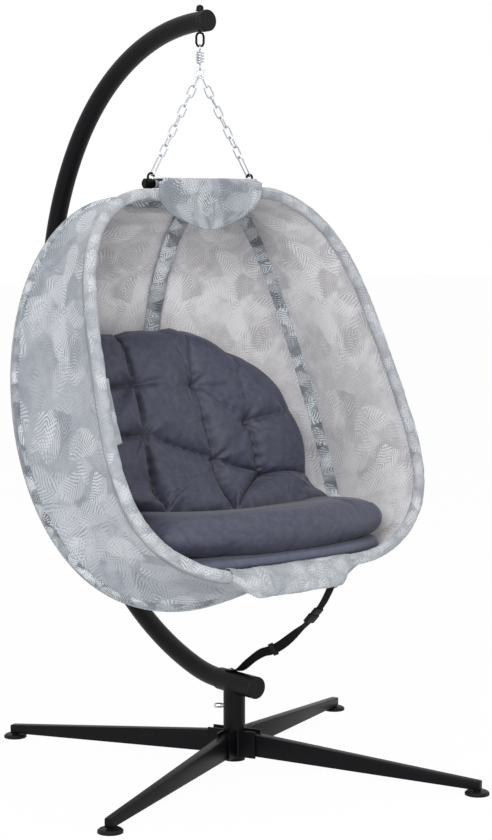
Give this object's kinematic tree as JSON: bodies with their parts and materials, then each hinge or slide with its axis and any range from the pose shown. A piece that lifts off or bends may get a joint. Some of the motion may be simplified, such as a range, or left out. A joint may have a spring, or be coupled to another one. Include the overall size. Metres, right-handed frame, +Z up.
{
  "type": "hanging pod chair on a stand",
  "caption": "Egg-shaped cloth pod chair with a tufted cushion, hung by chains and a spring from a C-shaped arm on a four-legged stand",
  "frame": {"origin": "on the floor, on the axis of the stand's post", "axes": "+Z up; the chair faces -Y and the arm curves round behind it towards +Y; +X is the sitter's left"},
  "size_m": [1.2704, 1.5, 1.9687],
  "materials": {
    "black_steel": "satin black powder coat",
    "black_plastic": "matte moulded plastic",
    "zinc": "bright zinc plate",
    "webbing": "black woven webbing",
    "shell_cloth": "pale grey printed cloth",
    "slate_cloth": "slate grey woven cushion cloth"
  },
  "bodies": {
    "base": {"hub": "black_steel", "leg_1": "black_steel", "leg_2": "black_steel", "leg_3": "black_steel", "leg_4": "black_steel", "foot_1": "black_plastic", "foot_2": "black_plastic", "foot_3": "black_plastic", "foot_4": "black_plastic"},
    "clamp": {"clamp_screw": "zinc"},
    "arm": {"tee": "black_steel", "tee_cap": "black_plastic", "tee_bolt": "zinc", "arm_lower": "black_steel", "arm_upper": "black_steel", "arm_end_cap": "black_plastic", "strap_lower": "webbing"},
    "eye": {"eye_bolt": "black_steel", "eye_nut": "black_plastic", "strap_glide": "black_plastic"},
    "hanger": {"hang_spring": "zinc", "strap_middle": "webbing", "buckle_socket": "black_plastic", "buckle_plug": "black_plastic"},
    "core": {"bottom_bar": "black_steel", "cushion": "slate_cloth", "hang_ring": "zinc", "left_back_panel": "shell_cloth", "left_chain_end_link": "zinc", "left_chain_link_1": "zinc", "left_chain_link_2": "zinc", "left_chain_link_3": "zinc", "left_chain_link_4": "zinc", "left_chain_link_5": "zinc", "left_chain_link_6": "zinc", "left_chain_link_7": "zinc", "left_chain_link_8": "zinc", "left_hook": "black_steel", "right_back_panel": "shell_cloth", "right_chain_end_link": "zinc", "right_chain_link_1": "zinc", "right_chain_link_2": "zinc", "right_chain_link_3": "zinc", "right_chain_link_4": "zinc", "right_chain_link_5": "zinc", "right_chain_link_6": "zinc", "right_chain_link_7": "zinc", "right_chain_link_8": "zinc", "right_hook": "black_steel", "seat_pad": "slate_cloth", "spine": "black_steel", "strap_upper": "webbing", "top_bar": "black_steel", "top_flap": "shell_cloth"},
    "right_rib": {"right_rib": "black_steel", "right_side_panel": "shell_cloth"},
    "right_rim": {"right_rim": "black_steel"},
    "left_rib": {"left_rib": "black_steel", "left_side_panel": "shell_cloth"},
    "left_rim": {"left_rim": "black_steel"}
  },
  "joints": [
    {"name": "clamp_screw_turn", "type": "hinge", "parent": "base", "child": "clamp", "pos_m": [-0.02183, 0.01832, 0.157], "axis": [-0.766, 0.6428, 0], "continuous": true},
    {"name": "arm_swivel", "type": "hinge", "parent": "base", "child": "arm", "pos_m": [0, 0, 0.172], "axis": [0, 0, 1], "continuous": true},
    {"name": "chair_twist", "type": "hinge", "parent": "arm", "child": "eye", "pos_m": [0, 0.13839, 1.9266], "axis": [0, 0, 1], "range_deg": [-15, 15], "deforming": ["strap_lower"]},
    {"name": "chair_swing", "type": "hinge", "parent": "eye", "child": "hanger", "pos_m": [0, 0.13839, 1.8618], "axis": [1, 0, 0], "range_deg": [-2, 8], "deforming": ["strap_middle"]},
    {"name": "spring_bounce", "type": "slide", "parent": "hanger", "child": "core", "axis": [0, 0, -1], "range_m": [-0.012, 0.04], "stiffness_N_per_m": 5000, "springref_m": -0.0235, "deforming": ["hang_spring", "strap_upper"]},
    {"name": "right_rib_fold", "type": "hinge", "parent": "core", "child": "right_rib", "pos_m": [0, -0.07621, 1.029], "axis": [0, 0.3762, 0.9265], "range_deg": [0, 43.4], "deforming": ["right_back_panel", "seat_pad"]},
    {"name": "right_rim_fold", "type": "hinge", "parent": "right_rib", "child": "right_rim", "pos_m": [0, -0.07621, 1.029], "axis": [0, 0.3762, 0.9265], "range_deg": [0, 25.6], "deforming": ["right_side_panel"]},
    {"name": "left_rib_fold", "type": "hinge", "parent": "core", "child": "left_rib", "pos_m": [0, -0.07621, 1.029], "axis": [0, -0.3762, -0.9265], "range_deg": [0, 43.4], "deforming": ["left_back_panel"]},
    {"name": "left_rim_fold", "type": "hinge", "parent": "left_rib", "child": "left_rim", "pos_m": [0, -0.07621, 1.029], "axis": [0, -0.3762, -0.9265], "range_deg": [0, 25.6], "deforming": ["left_side_panel"]}
  ],
  "couplings": [
    {"joint": "left_rib_fold", "follows": "right_rib_fold", "ratio": 1},
    {"joint": "right_rim_fold", "follows": "right_rib_fold", "ratio": 0.5898},
    {"joint": "left_rim_fold", "follows": "right_rib_fold", "ratio": 0.5898}
  ]
}
